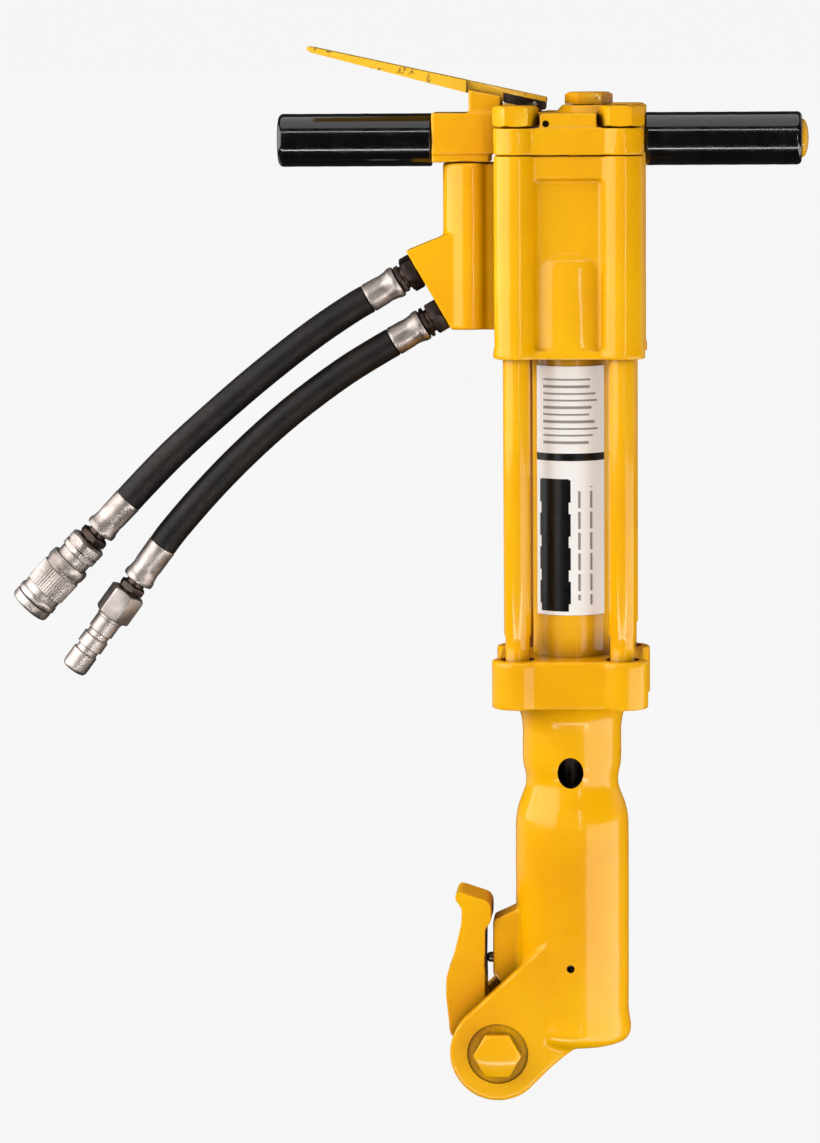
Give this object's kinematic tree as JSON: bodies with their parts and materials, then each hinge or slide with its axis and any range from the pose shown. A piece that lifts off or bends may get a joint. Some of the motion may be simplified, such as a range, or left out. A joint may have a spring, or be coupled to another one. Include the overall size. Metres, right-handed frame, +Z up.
{
  "type": "hydraulic pavement breaker",
  "caption": "Hand-held hydraulic pavement breaker with a T-handle, long thumb trigger, four tie rods, a latch foot for a hexagon tool shank, and two hose whips with quick couplers.",
  "frame": {"origin": "on the tool axis, in the plane of the foot's bottom face, at the mouth of the tool-shank socket", "axes": "+Z up the tool axis to the handle, -Y to the front, +X to the right when seen from the front, so the trigger and hoses lie towards -X"},
  "size_m": [0.547, 0.1072, 0.7225],
  "materials": {
    "yellow_paint": "gloss yellow enamel over castings and steel, lightly worn on edges",
    "grip_vinyl": "smooth glossy black vinyl",
    "hose_rubber": "black hose cover with a soft sheen",
    "machined_steel": "ground or machined steel",
    "plated_steel": "bright zinc or nickel plate",
    "dark_steel": "black oxide steel",
    "bearing_bronze": "machined bearing bronze",
    "label_film": null
  },
  "bodies": {
    "breaker": {"foot": "yellow_paint", "latch_bolt": "yellow_paint", "latch_nut": "yellow_paint", "side_rod_front_left": "yellow_paint", "side_rod_front_right": "yellow_paint", "side_rod_rear_left": "yellow_paint", "side_rod_rear_right": "yellow_paint", "cap_nut_front_left": "yellow_paint", "cap_nut_front_right": "yellow_paint", "cap_nut_rear_left": "yellow_paint", "cap_nut_rear_right": "yellow_paint", "cylinder": "yellow_paint", "main_housing": "yellow_paint", "handle_casting": "yellow_paint", "handle_tube_left": "yellow_paint", "handle_tube_right": "yellow_paint", "charging_plug": "yellow_paint", "grip_left": "grip_vinyl", "grip_right": "grip_vinyl", "hose_upper": "hose_rubber", "hose_lower": "hose_rubber", "accumulator_diaphragm": "hose_rubber", "tool_bushing": "machined_steel", "reversing_valve_body": "machined_steel", "accumulator_base": "machined_steel", "accumulator_chamber": "machined_steel", "throttle_spring": "machined_steel", "ferrule_start_upper": "plated_steel", "ferrule_start_lower": "plated_steel", "ferrule_end_upper": "plated_steel", "ferrule_end_lower": "plated_steel", "female_coupler_body": "plated_steel", "male_coupler_body": "plated_steel", "detent_shell": "dark_steel", "throttle_bore_plug": "dark_steel", "port_adapter_upper": "dark_steel", "port_adapter_lower": "dark_steel", "female_coupler_stem": "dark_steel", "male_coupler_stem": "dark_steel", "piston_bushing": "bearing_bronze", "charging_valve": "bearing_bronze", "throttle_gland": "bearing_bronze", "rating_label": "label_film"},
    "trigger": {"trigger_lever": "yellow_paint", "trigger_saddle": "dark_steel", "trigger_pin": "machined_steel"},
    "throttle": {"throttle_spool": "machined_steel"},
    "piston": {"piston": "machined_steel"},
    "reversing_valve": {"reversing_valve": "machined_steel"},
    "latch": {"latch": "yellow_paint"},
    "detent": {"detent_pin": "machined_steel"},
    "coupler_sleeve": {"female_coupler_sleeve": "plated_steel"},
    "female_poppet": {"female_coupler_poppet": "machined_steel"},
    "male_poppet": {"male_coupler_poppet": "machined_steel"}
  },
  "joints": [
    {"name": "trigger_pivot", "type": "hinge", "parent": "breaker", "child": "trigger", "pos_m": [-0.0235, 0, 0.6464], "axis": [0, -1, 0], "range_deg": [0, 13], "stiffness_Nm_per_rad": 2, "springref_deg": -20.05},
    {"name": "throttle_slide", "type": "slide", "parent": "breaker", "child": "throttle", "axis": [0, 0, -1], "range_m": [0, 0.009], "deforming": ["throttle_spring"]},
    {"name": "piston_slide", "type": "slide", "parent": "breaker", "child": "piston", "axis": [0, 0, 1], "range_m": [0, 0.06]},
    {"name": "reversing_valve_slide", "type": "slide", "parent": "breaker", "child": "reversing_valve", "axis": [0, 0, 1], "range_m": [0, 0.011]},
    {"name": "latch_pivot", "type": "hinge", "parent": "breaker", "child": "latch", "pos_m": [-0.0505, 0, -0.0035], "axis": [0, -1, 0], "range_deg": [0, 100]},
    {"name": "detent_slide", "type": "slide", "parent": "breaker", "child": "detent", "axis": [1, 0, 0], "range_m": [0, 0.004], "stiffness_N_per_m": 800, "springref_m": -0.004},
    {"name": "coupler_sleeve_slide", "type": "slide", "parent": "breaker", "child": "coupler_sleeve", "axis": [0.6883, 0, 0.7254], "range_m": [0, 0.006], "stiffness_N_per_m": 1500, "springref_m": -0.003},
    {"name": "female_poppet_slide", "type": "slide", "parent": "breaker", "child": "female_poppet", "axis": [0.6883, 0, 0.7254], "range_m": [0, 0.007], "stiffness_N_per_m": 1500, "springref_m": -0.003},
    {"name": "male_poppet_slide", "type": "slide", "parent": "breaker", "child": "male_poppet", "axis": [0.592, 0, 0.8059], "range_m": [0, 0.006], "stiffness_N_per_m": 1500, "springref_m": -0.003}
  ],
  "couplings": [
    {"joint": "throttle_slide", "follows": "trigger_pivot", "m_per_rad": 0.039}
  ]
}
